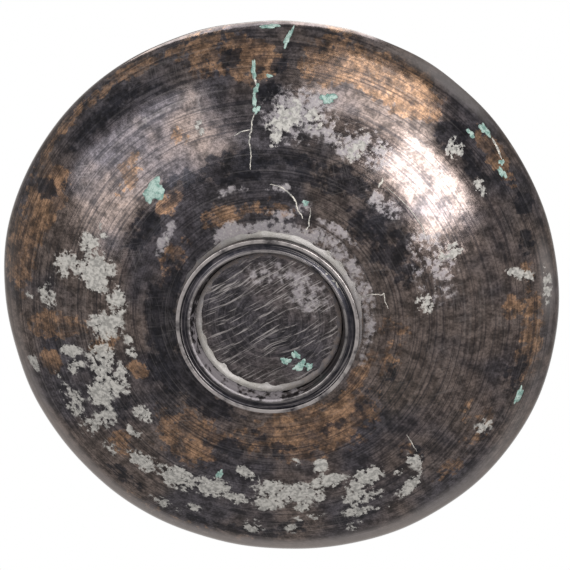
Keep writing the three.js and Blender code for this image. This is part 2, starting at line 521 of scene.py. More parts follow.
def new_piece(name, points, faces, material):
    """Puts points, quads and triangles into a new smooth mesh that rides on the bowl."""
    quads, triangles = faces
    corners = np.concatenate([quads.ravel(), triangles.ravel()]).astype(np.int32)
    counts = np.concatenate([np.full(len(quads), 4), np.full(len(triangles), 3)])
    starts = np.concatenate([[0], np.cumsum(counts)[:-1]]).astype(np.int32)
    mesh = bpy.data.meshes.new(name)
    mesh.vertices.add(len(points))
    mesh.vertices.foreach_set("co", points.astype(np.float32).ravel())
    mesh.loops.add(len(corners))
    mesh.loops.foreach_set("vertex_index", corners)
    mesh.polygons.add(len(counts))
    mesh.polygons.foreach_set("loop_start", starts)
    mesh.update(calc_edges=True)
    mesh.validate()
    mesh.shade_smooth()
    mesh.materials.append(material)
    piece = bpy.data.objects.new(name, mesh)
    bpy.context.scene.collection.objects.link(piece)
    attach(piece, "root")
    return piece


def write_field(piece, name, values):
    field = piece.data.attributes.new(name, "FLOAT", "POINT")
    field.data.foreach_set("value", values.astype(np.float32).ravel())


def put(tree, socket, value):
    """Links a socket to another socket, or sets its value."""
    if isinstance(value, bpy.types.NodeSocket):
        tree.links.new(value, socket)
    elif isinstance(value, (tuple, list)) and socket.type == "RGBA" and len(value) == 3:
        socket.default_value = (*value, 1.0)
    else:
        socket.default_value = value


def add_node(tree, kind, inputs=None, **settings):
    node = tree.nodes.new(kind)
    for name, value in settings.items():
        setattr(node, name, value)
    for name, value in (inputs or {}).items():
        put(tree, node.inputs[name], value)
    return node


def calculate(tree, operation, first, second=0.0, clamp=False):
    node = add_node(tree, "ShaderNodeMath", {0: first, 1: second}, operation=operation, use_clamp=clamp)
    return node.outputs[0]


def ease(tree, value, low, high, to_low=0.0, to_high=1.0):
    inputs = {"Value": value, "From Min": low, "From Max": high, "To Min": to_low, "To Max": to_high}
    return add_node(tree, "ShaderNodeMapRange", inputs, interpolation_type="SMOOTHSTEP").outputs[0]


def blend_colours(tree, factor, first, second, blend="MIX"):
    node = add_node(tree, "ShaderNodeMix", data_type="RGBA", blend_type=blend)
    put(tree, node.inputs[0], factor)
    put(tree, node.inputs[6], first)
    put(tree, node.inputs[7], second)
    return node.outputs[2]


def grain(tree, scale, detail=4.0, roughness=0.6, vector=None):
    """Noise in metres on Object coordinates, or on the given vector."""
    if vector is None:
        vector = add_node(tree, "ShaderNodeTexCoord").outputs["Object"]
    inputs = {"Vector": vector, "Scale": scale, "Detail": detail, "Roughness": roughness}
    return add_node(tree, "ShaderNodeTexNoise", inputs).outputs[0]


def field_value(tree, name):
    node = add_node(tree, "ShaderNodeAttribute", attribute_type="GEOMETRY", attribute_name=name)
    return node.outputs["Fac"]


def new_group(name, inputs, outputs):
    """An empty node group with float sockets: inputs is a dictionary of names and defaults."""
    tree = bpy.data.node_groups.new(name, "ShaderNodeTree")
    for name, default in inputs.items():
        socket = tree.interface.new_socket(name, in_out="INPUT", socket_type="NodeSocketFloat")
        socket.default_value = default
    for socket in outputs:
        tree.interface.new_socket(socket, in_out="OUTPUT", socket_type="NodeSocketFloat")
    return tree, tree.nodes.new("NodeGroupInput").outputs, tree.nodes.new("NodeGroupOutput").inputs


def use_group(tree, name, inputs):
    node = tree.nodes.new("ShaderNodeGroup")
    node.node_tree = bpy.data.node_groups[name]
    for socket, value in inputs.items():
        put(tree, node.inputs[socket], value)
    return node.outputs[0]


def make_turning_marks():
    """Fine rings round the axis: noise that runs fast along the radius and slowly across the plane."""
    tree, given, result = new_group("turning_marks", {"Fineness": 1500.0}, ["Lines"])
    place = add_node(tree, "ShaderNodeTexCoord").outputs["Object"]
    flat = add_node(tree, "ShaderNodeVectorMath", {0: place, 1: (1.0, 1.0, 0.0)}, operation="MULTIPLY")
    length = add_node(tree, "ShaderNodeVectorMath", {0: flat.outputs[0]}, operation="LENGTH")
    radius = length.outputs["Value"]
    apart = add_node(tree, "ShaderNodeSeparateXYZ", {0: place})
    vector = add_node(
        tree,
        "ShaderNodeCombineXYZ",
        {
            0: calculate(tree, "MULTIPLY", radius, given["Fineness"]),
            1: calculate(tree, "MULTIPLY", apart.outputs[0], 22.0),
            2: calculate(tree, "MULTIPLY", apart.outputs[1], 22.0),
        },
    ).outputs[0]
    put(tree, result["Lines"], grain(tree, 1.0, 3.0, 0.65, vector))


def make_broken_patch():
    """A field with its edge broken up: the field plus coarse and fine noise, cut at a half."""
    defaults = {"Field": 0.0, "Scale": 300.0, "Breakup": 2.0, "Softness": 0.05}
    tree, given, result = new_group("broken_patch", defaults, ["Mask"])
    fine = calculate(tree, "SUBTRACT", grain(tree, given["Scale"], 5.0, 0.62), 0.5)
    coarse_scale = calculate(tree, "MULTIPLY", given["Scale"], 0.28)
    coarse = calculate(tree, "SUBTRACT", grain(tree, coarse_scale, 2.0, 0.5), 0.5)
    noise = calculate(tree, "ADD", fine, calculate(tree, "MULTIPLY", coarse, 0.6))
    value = calculate(tree, "ADD", given["Field"], calculate(tree, "MULTIPLY", noise, given["Breakup"]))
    low = calculate(tree, "SUBTRACT", 0.5, given["Softness"])
    high = calculate(tree, "ADD", 0.5, given["Softness"])
    gate = ease(tree, given["Field"], 0.02, 0.25)
    put(tree, result["Mask"], calculate(tree, "MULTIPLY", ease(tree, value, low, high), gate))


def make_scratches():
    """Straight scratches one way: noise stretched along them, cut to its thin crests."""
    defaults = {"Direction": 0.0, "Fineness": 900.0, "Bend": 0.004}
    tree, given, result = new_group("scratches", defaults, ["Lines"])
    place = add_node(tree, "ShaderNodeTexCoord").outputs["Object"]
    wander = add_node(tree, "ShaderNodeTexNoise", {"Vector": place, "Scale": 40.0}).outputs[1]
    bend = add_node(tree, "ShaderNodeVectorMath", {0: wander}, operation="SCALE")
    put(tree, bend.inputs["Scale"], given["Bend"])
    bent = add_node(tree, "ShaderNodeVectorMath", {0: place, 1: bend.outputs[0]}, operation="ADD")
    rotated = add_node(tree, "ShaderNodeVectorRotate", {"Vector": bent.outputs[0]}, rotation_type="Z_AXIS")
    put(tree, rotated.inputs["Angle"], given["Direction"])
    apart = add_node(tree, "ShaderNodeSeparateXYZ", {0: rotated.outputs[0]})
    stretched = {
        0: calculate(tree, "MULTIPLY", apart.outputs[0], 75.0),
        1: calculate(tree, "MULTIPLY", apart.outputs[1], given["Fineness"]),
        2: calculate(tree, "MULTIPLY", apart.outputs[2], 75.0),
    }
    vector = add_node(tree, "ShaderNodeCombineXYZ", stretched).outputs[0]
    put(tree, result["Lines"], ease(tree, grain(tree, 1.0, 3.0, 0.7, vector), 0.54, 0.68))


def new_material(name):
    material = bpy.data.materials.new(name)
    material.use_nodes = True
    tree = material.node_tree
    return material, tree, tree.nodes["Principled BSDF"]


def finish_surface(tree, shader, colour, metallic, roughness, height, depth):
    """Feeds the shader, with a bump of the given depth in metres."""
    bump = add_node(tree, "ShaderNodeBump", {"Strength": 1.0, "Distance": depth, "Height": height})
    put(tree, shader.inputs["Base Color"], colour)
    put(tree, shader.inputs["Metallic"], metallic)
    put(tree, shader.inputs["Roughness"], roughness)
    put(tree, shader.inputs["Normal"], bump.outputs[0])


def weighted_sum(tree, start, terms):
    """start plus each value times its weight, clamped to 0 and 1."""
    total = start
    for value, weight in terms:
        total = calculate(tree, "ADD", total, calculate(tree, "MULTIPLY", value, weight), clamp=True)
    return total


def tint(tree, colour, added, mask, share):
    """Lays a second colour over the first where the mask is white, up to a share of it."""
    return blend_colours(tree, calculate(tree, "MULTIPLY", mask, share), colour, added)


def broken_patch(tree, field, scale, breakup, softness):
    """The mask of a named field with its edge broken up by noise."""
    inputs = {"Field": field_value(tree, field), "Scale": scale, "Breakup": breakup, "Softness": softness}
    return use_group(tree, "broken_patch", inputs)


def patina_colour(tree, finish, brown, floor):
    """Grey patina with the inside's silver, the brown, the blue-black and the foot's floor laid over it."""
    broad = grain(tree, 30.0, 3.0, 0.5)
    colour = blend_colours(tree, ease(tree, broad, 0.40, 0.60), finish.slate[:], finish.umber[:])
    colour = tint(tree, colour, finish.bright_silver[:], field_value(tree, "inside"), 0.30)
    drift = ease(tree, grain(tree, 130.0, 5.0, 0.7), 0.40, 0.60)
    brown_tone = blend_colours(tree, drift, finish.deep_brown[:], finish.golden_brown[:])
    # Blue-black patina, and the painted shadow of the foot on the wall beside it.
    black = broken_patch(tree, "black_patina_and_shadow", 300.0, 2.4, 0.16)
    colour = tint(tree, colour, brown_tone, brown, 0.85)
    colour = tint(tree, colour, finish.blue_black[:], black, 0.85)
    return tint(tree, colour, finish.slate[:], floor, 0.6)


def scratch_marks(tree, floor):
    """Sparse scratches two ways all over, and dense ones one way on the floor inside the foot."""
    sparse = ease(tree, grain(tree, 45.0, 2.0, 0.5), 0.50, 0.66)
    first = use_group(tree, "scratches", {"Direction": 0.55, "Fineness": 1500.0})
    second = use_group(tree, "scratches", {"Direction": 2.2, "Fineness": 1700.0})
    scattered = calculate(tree, "MULTIPLY", calculate(tree, "MAXIMUM", first, second), sparse)
    faint = calculate(tree, "MULTIPLY", scattered, 0.14)
    dense = use_group(tree, "scratches", {"Direction": 0.87, "Fineness": 1300.0, "Bend": 0.006})
    return calculate(tree, "MAXIMUM", faint, calculate(tree, "MULTIPLY", dense, floor), clamp=True)


def patinated_silver(finish):
    """Raised silver: patina, rings and scratches, with pale film and horn silver over them, a painted shadow
    beside the foot, a painted sheen along the rim and one painted glint.
    """
    material, tree, shader = new_material("patinated_silver")
    mottle = grain(tree, 240.0, 6.0, 0.66)
    speckle = grain(tree, 1100.0, 3.0, 0.7)
    lines = use_group(tree, "turning_marks", {"Fineness": 1500.0})
    floor = field_value(tree, "foot_floor")
    brown = broken_patch(tree, "brown_patina", 330.0, 2.5, 0.14)
    pale = broken_patch(tree, "pale_film_and_lit_side", 460.0, 3.4, 0.4)
    # Horn silver, and one painted glint at 217 degrees.
    horn = broken_patch(tree, "horn_silver_and_glint", 480.0, 3.5, 0.16)
    marks = scratch_marks(tree, floor)

    colour = patina_colour(tree, finish, brown, floor)
    colour = blend_colours(tree, 0.75, colour, ease(tree, mottle, 0.36, 0.64, 0.35, 1.9), "MULTIPLY")
    colour = blend_colours(tree, 0.4, colour, ease(tree, speckle, 0.36, 0.64, 0.35, 1.8), "MULTIPLY")
    colour = tint(tree, colour, finish.bright_silver[:], ease(tree, lines, 0.54, 0.70), 0.10)
    colour = tint(tree, colour, finish.blue_black[:], ease(tree, lines, 0.50, 0.38), 0.6)
    # Rubbed silver along the rim, with a painted sheen there for the rim's grazing reflection.
    colour = tint(tree, colour, finish.bright_silver[:], field_value(tree, "rubbed_and_sheen"), 0.55)
    colour = tint(tree, colour, finish.bright_silver[:], marks, 0.8)
    bloom = ease(tree, speckle, 0.45, 0.80)
    film_tone = blend_colours(tree, bloom, finish.pale_film_and_lit_side[:], finish.horn_light[:])
    colour = tint(tree, colour, film_tone, pale, 0.7)
    crumble = ease(tree, grain(tree, 700.0, 4.0, 0.6), 0.38, 0.60)
    horn_tone = blend_colours(tree, crumble, finish.horn_dark[:], finish.horn_light[:])
    colour = tint(tree, colour, horn_tone, horn, 0.9)

    metallic = weighted_sum(tree, 0.94, [(horn, -0.85), (pale, -0.5), (brown, -0.2)])
    dullness = [(mottle, 0.08), (horn, 0.5), (pale, 0.28), (brown, 0.10), (floor, 0.12)]
    relief = [(lines, 0.07), (mottle, 0.12), (horn, 0.55), (pale, 0.15), (marks, -0.08)]
    roughness = weighted_sum(tree, 0.11, dullness)
    height = weighted_sum(tree, 0.1, relief)
    finish_surface(tree, shader, colour, metallic, roughness, height, 0.06 * MM)
    shader.inputs["Coat Weight"].default_value = 0.12
    shader.inputs["Coat Roughness"].default_value = 0.12
    shader.inputs["Specular Tint"].default_value = (0.55, 0.52, 0.50, 1.0)
    return material


def worn_silver(finish):
    """The foot: dark grey silver with a rubbed bead, painted shade in its channel and on its inner wall, a
    painted lit side on that wall, and fine rings round it.
    """
    material, tree, shader = new_material("worn_silver")
    mottle = grain(tree, 320.0, 5.0, 0.65)
    lines = use_group(tree, "turning_marks", {"Fineness": 2100.0})
    # On the foot this mask holds only painted light: the pale lit side of the inner wall.
    film = broken_patch(tree, "pale_film_and_lit_side", 500.0, 2.4, 0.2)
    worn_through = ease(tree, grain(tree, 130.0, 3.0, 0.6), 0.30, 0.55)
    wear = calculate(tree, "MULTIPLY", field_value(tree, "rubbed_and_sheen"), worn_through)
    colour = blend_colours(tree, ease(tree, mottle, 0.36, 0.64), finish.blue_black[:], finish.slate[:])
    # Painted shade: blue-black over the channel and inner wall, darkest where the wall faces away from the
    # key light.
    colour = tint(tree, colour, finish.blue_black[:], field_value(tree, "painted_shade"), 0.9)
    colour = tint(tree, colour, finish.bright_silver[:], ease(tree, lines, 0.52, 0.66), 0.45)
    colour = tint(tree, colour, finish.bright_silver[:], wear, 0.8)
    # Painted light: the pale lit side of the inner wall, where it faces the key light.
    colour = tint(tree, colour, finish.pale_film_and_lit_side[:], film, 0.8)
    metallic = weighted_sum(tree, 0.95, [(film, -0.5)])
    roughness = weighted_sum(tree, 0.20, [(mottle, 0.22), (film, 0.3)])
    height = weighted_sum(tree, 0.2, [(lines, 0.15), (mottle, 0.2), (film, 0.3)])
    finish_surface(tree, shader, colour, metallic, roughness, height, 0.12 * MM)
    return material


def grey_solder(finish):
    """Dull corroded solder: lumpy, pale grey with darker pits and a lilac bloom."""
    material, tree, shader = new_material("grey_solder")
    mottle = grain(tree, 420.0, 6.0, 0.68)
    patches = grain(tree, 90.0, 3.0, 0.6)
    colour = blend_colours(tree, ease(tree, mottle, 0.36, 0.62), finish.slate[:], finish.umber[:])
    # The pale side: pale film on the outer seam, painted light on the inner seam where it faces the key
    # light.
    lift = field_value(tree, "pale_film_and_lit_side")
    pale_and_lit = calculate(tree, "MULTIPLY", ease(tree, patches, 0.40, 0.58), lift)
    colour = blend_colours(tree, pale_and_lit, colour, finish.pale_film_and_lit_side[:])
    colour = tint(tree, colour, finish.horn_light[:], lift, 0.6)
    roughness = weighted_sum(tree, 0.42, [(mottle, 0.35)])
    finish_surface(tree, shader, colour, 0.45, roughness, mottle, 0.35 * MM)
    return material


def crust_material(name, body, bloom, pits):
    """Matte mineral crust: a body colour with a paler bloom, dark pits and a grainy surface."""
    material, tree, shader = new_material(name)
    coarse = grain(tree, 520.0, 5.0, 0.65)
    fine = grain(tree, 2200.0, 4.0, 0.6)
    colour = blend_colours(tree, ease(tree, coarse, 0.38, 0.60), body, bloom)
    colour = tint(tree, colour, pits, ease(tree, fine, 0.42, 0.30), 0.7)
    height = weighted_sum(tree, 0.0, [(coarse, 0.6), (fine, 0.4)])
    roughness = weighted_sum(tree, 0.70, [(fine, 0.25)])
    finish_surface(tree, shader, colour, 0.0, roughness, height, 0.3 * MM)
    return material


def body_profile(sizes):
    """Radius and height from the axis along the outside, over the rim's half circle and back inside."""
    outer = np.stack(outer_curve(sizes, even_angles(sizes, OUTER_WALL_POINTS)), -1)
    t_inner = even_angles(sizes, INNER_WALL_POINTS)
    radius, height = outer_curve(sizes, t_inner)
    across, up = inward_normal(sizes, t_inner)
    thickness = thickness_at(sizes, height)
    inner = np.stack([radius + across * thickness, height + up * thickness], -1)
    turn = np.linspace(0, math.pi, RIM_POINTS)[1:-1]
    half = sizes.rim_thickness / 2
    rim_radius = sizes.rim_radius - half + half * np.cos(turn)
    rim_height = sizes.bowl_height - half + half * np.sin(turn)
    profile = np.concatenate([outer, np.stack([rim_radius, rim_height], -1), inner[::-1]])
    profile[[0, -1], 0] = 0
    return profile, len(outer) + len(turn) // 2


def body_fields(piece, points, turning_ring):
    """Writes the masks of the outside from the listed patches, and soft ones from waves on the inside."""
    x, y = points[:, 0], points[:, 1]
    angle = np.degrees(np.arctan2(y, x))
    radius = np.hypot(x, y) / MM
    inside = (np.arange(len(points)) >= (turning_ring - 1) * BODY_AROUND).astype(float)
    inside[-2] = 0.0
    outside = 1 - inside
    clouds = 0.5 + 0.5 * surface_waves(x, y, 45 * MM, 11)
    drift = 0.5 + 0.5 * surface_waves(x, y, 60 * MM, 12)
    write_field(piece, "inside", inside)
    write_field(piece, "foot_floor", outside * (1 - smooth_step(radius, 25.5, 29.0)))
    for name, patches, within in (
        # Rubbed silver and painted sheen along the rim.
        ("rubbed_and_sheen", RUBBED_RIM_AND_SHEEN, smooth_step(radius, 103, 109)),
        ("horn_silver_and_glint", HORN_SILVER_AND_GLINT, 0.55 * (clouds - 0.45)),
        ("brown_patina", BROWN_PATINA, 0.8 * (drift - 0.1)),
        # Dark patina, and the painted shadow beside the foot.
        ("black_patina_and_shadow", BLACK_PATINA_AND_SHADOW, 0.7 * (1 - drift)),
        ("pale_film_and_lit_side", PALE_FILM, 0 * drift),
    ):
        write_field(piece, name, outside * patch_field(angle, radius, patches) + inside * within)


def arc_through(start, bend, end, count=14):
    """Points of a quadratic curve from start to end, drawn towards bend; the last point is left out."""
    share = np.linspace(0, 1, count, endpoint=False)[:, None]
    first, middle, last = np.array(start), np.array(bend), np.array(end)
    return (1 - share) ** 2 * first + 2 * share * (1 - share) * middle + share**2 * last


def underside_at(sizes, radius):
    return outer_curve(sizes, curve_angle(sizes, np.asarray(radius, float)))[1]


def foot_places(sizes):
    """The radii of the foot's section, from its waist inwards, worked out from its widths."""
    waist = sizes.foot_radius - sizes.foot_waist_inset
    stand_outer = sizes.foot_radius - sizes.bead_rounding
    stand_inner = stand_outer - sizes.standing_face
    channel_outer = stand_inner - sizes.bead_rounding
    channel_inner = channel_outer - sizes.channel_width
    wall_low = channel_inner - sizes.lip_width
    wall_top = wall_low - sizes.inner_wall_lean
    return waist, stand_outer, stand_inner, channel_outer, channel_inner, wall_low, wall_top


def foot_profile(sizes):
    """Down the leaning inner wall, round its lip, along the channel, round the bead and up the side."""
    waist, stand_outer, stand_inner, channel_outer, channel_inner, wall_low, wall_top = foot_places(sizes)
    seat = 0.15 * MM
    lip, channel, bead = sizes.lip_height, sizes.channel_depth, sizes.bead_height
    rounding = sizes.bead_rounding
    top_height = float(underside_at(sizes, wall_top)) + seat
    inner_top = (wall_top, top_height)
    inner_bend = ((wall_top + wall_low) / 2, sizes.inner_wall_bend)
    inner_low = (wall_low, lip + sizes.lip_width)
    flat_middle = ((stand_inner + stand_outer) / 2, 0)
    top_radius = np.linspace(waist, wall_top, 12, endpoint=False)
    return np.concatenate([
        arc_through(inner_top, inner_bend, inner_low),
        arc_through(inner_low, (wall_low, lip), (channel_inner, lip)),
        arc_through((channel_inner, lip), (channel_outer, channel * 2), (channel_outer, rounding)),
        arc_through((channel_outer, rounding), (channel_outer, 0), (stand_inner, 0)),
        arc_through((stand_inner, 0), flat_middle, (stand_outer, 0), 4),
        arc_through((stand_outer, 0), (sizes.foot_radius, 0), (sizes.foot_radius, bead)),
        arc_through((sizes.foot_radius, bead), (waist, 2 * bead), (waist, 3 * bead)),
        np.array([[waist, (3 * bead + top_height) / 2]]),
        np.stack([top_radius, underside_at(sizes, top_radius) + seat], -1),
    ])


def seam_profile(sizes, wall_radius, foot_of_seam, reach_radius):
    """A corner of solder with a concave face, from low on the foot's wall out to the bowl's underside."""
    seat = 0.1 * MM
    corner = (wall_radius, float(underside_at(sizes, wall_radius)) + seat)
    far = (reach_radius, float(underside_at(sizes, reach_radius)) + seat)
    face = arc_through(foot_of_seam, corner, far, 18)
    back = arc_through(far, corner, corner, 6)
    profile = np.concatenate([face, back, np.array([corner])])
    rising = reach_radius > wall_radius
    return profile if rising else profile[::-1]


def lumpy(points, amount, wavelength, seed):
    """Moves points in and out from the axis, and up and down, by two sets of waves."""
    x, y, z = points[..., 0], points[..., 1], points[..., 2]
    sideways = amount * surface_waves(x + z, y - z, wavelength, seed)
    upwards = amount * surface_waves(x - z, y + z, wavelength, seed + 1)
    grow = 1 + sideways / np.hypot(x, y)
    return np.stack([x * grow, y * grow, z + upwards], -1)


def crust_dome(place, normal, thickness, random):
    """Lifts a disc of wall points by a lumpy dome, root of 1 - share^2 high, its edge under the surface."""
    share = np.linspace(0, 1, CRUST_RINGS + 1)[1:, None]
    lumps = random.uniform(0.7, 1.3, (CRUST_RINGS, CRUST_SPOKES))
    lumps = (lumps + np.roll(lumps, 1, axis=1) + np.roll(lumps, -1, axis=1)) / 3
    lift = thickness * np.sqrt(np.maximum(1 - share**2, 0)) * lumps - CRUST_EDGE_DEPTH
    return place + normal * lift[..., None]


def crust_points(values, seat, random):
    """One crust: a disc with a wavy outline, laid on its seat by angle and radius, lifted as a dome."""
    angle, radius, along, across, turn, thickness = values
    spoke = np.arange(CRUST_SPOKES) * 2 * math.pi / CRUST_SPOKES
    phases = random.uniform(0, 2 * math.pi, 4)
    outline = 1 + 0.20 * np.sin(2 * spoke + phases[0]) + 0.17 * np.sin(3 * spoke + phases[1])
    outline += 0.13 * np.sin(5 * spoke + phases[2]) + 0.10 * np.sin(8 * spoke + phases[3])
    share = np.linspace(0, 1, CRUST_RINGS + 1)[1:, None]
    u = share * outline * np.cos(spoke) * along
    v = share * outline * np.sin(spoke) * across
    lean = math.radians(turn)
    round_bowl = u * math.cos(lean) - v * math.sin(lean)
    up_wall = u * math.sin(lean) + v * math.cos(lean)
    at_angle = math.radians(angle) + round_bowl / radius
    place, normal = seat(at_angle, (radius + up_wall) * MM)
    shell = crust_dome(place, normal, thickness * MM, random)
    middle, upright = seat(np.array([math.radians(angle)]), np.array([radius * MM]))
    peak = middle + upright * (thickness * MM - CRUST_EDGE_DEPTH)
    root = middle - upright * CRUST_ROOT_DEPTH
    return np.concatenate([shell.reshape(-1, 3), peak, root])


def crust_faces():
    """Fan from the middle, rings of quads, and a fan under the edge that closes the crust."""
    grid = np.arange(CRUST_RINGS * CRUST_SPOKES).reshape(CRUST_RINGS, CRUST_SPOKES)
    following = np.roll(grid, -1, axis=1)
    quads = np.stack([grid[:-1], grid[1:], following[1:], following[:-1]], -1).reshape(-1, 4)
    top = np.full(CRUST_SPOKES, grid.size)
    top_fan = np.stack([top, grid[0], following[0]], -1)
    root_fan = np.stack([top + 1, following[-1], grid[-1]], -1)
    return quads, np.concatenate([top_fan, root_fan])


def joined(parts):
    """Stacks the points and faces of many small closed shapes into one mesh."""
    points, quads, triangles, first = [], [], [], 0
    for part_points, (part_quads, part_triangles) in parts:
        points.append(part_points)
        quads.append(part_quads + first)
        triangles.append(part_triangles + first)
        first += len(part_points)
    return np.concatenate(points), (np.concatenate(quads), np.concatenate(triangles))


def vein_shape(sizes, half_width, corners, random):
    """A flat tube along a path on the wall: an ellipse across it, thinning to a point at each end."""
    corners = np.array(corners, float)
    steps = VEIN_STEPS * (len(corners) - 1)
    share = np.linspace(0, len(corners) - 1, steps)
    angle = np.radians(np.interp(share, np.arange(len(corners)), corners[:, 0]))
    radius = np.interp(share, np.arange(len(corners)), corners[:, 1]) * MM
    wander = np.convolve(random.normal(0, 1, steps + 4), np.ones(5) / 5, "valid")
    place, normal = wall_place(sizes, angle + wander * VEIN_WANDER / radius, radius)
    place = hand_worked(place)
    along = np.gradient(place, axis=0)
    along /= np.linalg.norm(along, axis=1, keepdims=True)
    side = np.cross(normal, along)
    width = half_width * MM * np.sin(np.linspace(0.15, math.pi - 0.15, steps)) ** 0.5
    width *= random.uniform(0.6, 1.3, steps)
    turn = (np.arange(VEIN_SIDES) * 2 * math.pi / VEIN_SIDES)[None, :, None]
    across = side[:, None] * np.cos(turn) + normal[:, None] * 0.5 * np.sin(turn)
    rings = (place[:, None] + across * width[:, None, None]).reshape(-1, 3)
    tips = [place[:1] - along[:1] * VEIN_TIP, place[-1:] + along[-1:] * VEIN_TIP]
    return np.concatenate([rings, *tips]), capped_faces(steps, VEIN_SIDES)


class BOWL_OT_shader_groups(bpy.types.Operator):
    """Makes the node groups that several finishes share"""

    bl_idname = "bowl.shader_groups"
    bl_label = "Shared finish patterns"

    def execute(self, context):
        make_turning_marks()
        make_broken_patch()
        make_scratches()
        return {"FINISHED"}


class BOWL_OT_raised_body(bpy.types.Operator):
    """Makes the raised bowl: outer wall, rounded rim and inner wall as one closed shell"""

    bl_idname = "bowl.raised_body"
    bl_label = "Raised bowl"

    def execute(self, context):
        sizes, finish = context.scene.bowl_sizes, context.scene.bowl_finish
        profile, turning_ring = body_profile(sizes)
        rings = turned_points(profile[1:-1], BODY_AROUND).reshape(-1, 3)
        poles = np.array([[0, 0, profile[0, 1]], [0, 0, profile[-1, 1]]])
        points = np.concatenate([rings, poles])
        faces = capped_faces(len(profile) - 2, BODY_AROUND)
        silver = patinated_silver(finish)
        bowl = new_piece("raised_bowl", hand_worked(points), faces, silver)
        body_fields(bowl, points, turning_ring)
        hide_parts("bowl_body")
        return {"FINISHED"}


class BOWL_OT_foot_ring(bpy.types.Operator):
    """Makes the foot ring with its bead, channel and leaning inner wall"""

    bl_idname = "bowl.foot_ring"
    bl_label = "Foot ring"

    def execute(self, context):
        sizes, finish = context.scene.bowl_sizes, context.scene.bowl_finish
        profile = foot_profile(sizes)
        points = turned_points(profile, RING_AROUND).reshape(-1, 3)
        faces = looped_faces(len(profile), RING_AROUND)
        ring = new_piece("foot_ring_turned", points, faces, worn_silver(finish))
        self.write_wear(sizes, ring, points)
        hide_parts("foot_ring")
        return {"FINISHED"}

    def write_wear(self, sizes, ring, points):
        """Rubbed where the bead and lip touch the ground; painted shade in the channel and on the inner
        wall, darkest where the wall faces away from the key light; a painted pale lit side where it faces
        the light.
        """
        channel_outer, channel_inner, wall_low = foot_places(sizes)[3:6]
        radius = np.hypot(points[:, 0], points[:, 1])
        angle = np.degrees(np.arctan2(points[:, 1], points[:, 0]))
        low = 1 - smooth_step(points[:, 2], 0.3 * MM, 1.6 * MM)
        bead = low * smooth_step(radius, channel_outer, channel_outer + 0.5 * MM)
        lip = low * (1 - smooth_step(radius, channel_inner, channel_inner + 0.6 * MM))
        within = 1 - smooth_step(radius, channel_outer - 0.3 * MM, channel_outer + 0.2 * MM)
        inner = 1 - smooth_step(radius, wall_low + 0.6 * MM, wall_low + 1.6 * MM)
        write_field(ring, "rubbed_and_sheen", np.maximum(bead, 0.5 * lip))
        # Painted shade in the channel and on the inner wall: at least 0.35, up to 1 round 300 degrees, where
        # the wall faces away from the key light.
        write_field(ring, "painted_shade", within * np.maximum(bell_round(angle, 300, 62), 0.35) * (1 - bead))
        # Painted light: a pale lit side on the inner wall, round 110 degrees, where it faces the key light.
        write_field(ring, "pale_film_and_lit_side", 0.75 * inner * bell_round(angle, 110, 70))


class BOWL_OT_solder(bpy.types.Operator):
    """Makes the two seams of solder, inside and outside the foot ring"""

    bl_idname = "bowl.solder"
    bl_label = "Solder seams"

    def execute(self, context):
        sizes, finish = context.scene.bowl_sizes, context.scene.bowl_finish
        material = grey_solder(finish)
        waist, *_, wall_top = foot_places(sizes)
        outer = (waist - SEAM_OVERLAP, (waist - 0.1 * MM, OUTER_SEAM_LOW), waist + OUTER_SEAM_REACH)
        inner = (wall_top + SEAM_OVERLAP, (wall_top + 0.3 * MM, INNER_SEAM_LOW), wall_top - INNER_SEAM_REACH)
        for name, node, places, pale_side, seed in (
            ("outer_solder", "solder_seam_outer", outer, 270, 21),
            ("inner_solder", "solder_seam_inner", inner, 110, 25),
        ):
            profile = seam_profile(sizes, *places)
            points = turned_points(profile, RING_AROUND)
            lumps = lumpy(points, SEAM_LUMPS, SEAM_LUMP_SPACING, seed).reshape(-1, 3)
            faces = looped_faces(len(profile), RING_AROUND)
            seam = new_piece(name, lumps, faces, material)
            angle = np.degrees(np.arctan2(points[..., 1], points[..., 0])).ravel()
            # Pale side: pale film on the outer seam at 270 degrees, painted light on the inner seam at 110
            # degrees.
            write_field(seam, "pale_film_and_lit_side", bell_round(angle, pale_side, 55))
            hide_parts(node)
        return {"FINISHED"}


class BOWL_OT_crusts(bpy.types.Operator):
    """Makes the raised corrosion: green crusts, pale crumbs in the foot's channel and pale veins"""

    bl_idname = "bowl.crusts"
    bl_label = "Corrosion crusts"

    def execute(self, context):
        sizes, finish = context.scene.bowl_sizes, context.scene.bowl_finish
        random = np.random.default_rng(5)
        dark = finish.blue_black[:]
        green = crust_material("green_crust", finish.verdigris[:], finish.verdigris_pale[:], dark)
        cream, brown = (0.46, 0.43, 0.38), finish.deep_brown[:]
        mineral = crust_material("pale_mineral", finish.horn_dark[:], cream, brown)

        def on_wall(angle, radius):
            place, normal = wall_place(sizes, angle, np.minimum(radius, sizes.rim_radius - 0.1 * MM))
            return hand_worked(place), normal

        def in_channel(angle, radius):
            height = 0 * angle + CHANNEL_ROOF
            place = np.stack([radius * np.cos(angle), radius * np.sin(angle), height], -1)
            return place, np.zeros_like(place) - (0, 0, 1)

        crusts = [(crust_points(values, on_wall, random), crust_faces()) for values in GREEN_CRUSTS]
        points, faces = joined(crusts)
        new_piece("green_crusts", points, faces, green)
        crumbs = [(crust_points(values, in_channel, random), crust_faces()) for values in CHANNEL_CRUMBS]
        veins = [vein_shape(sizes, width, corners, random) for width, corners in PALE_VEINS]
        points, faces = joined(crumbs + veins)
        new_piece("pale_veins", points, faces, mineral)
        return {"FINISHED"}


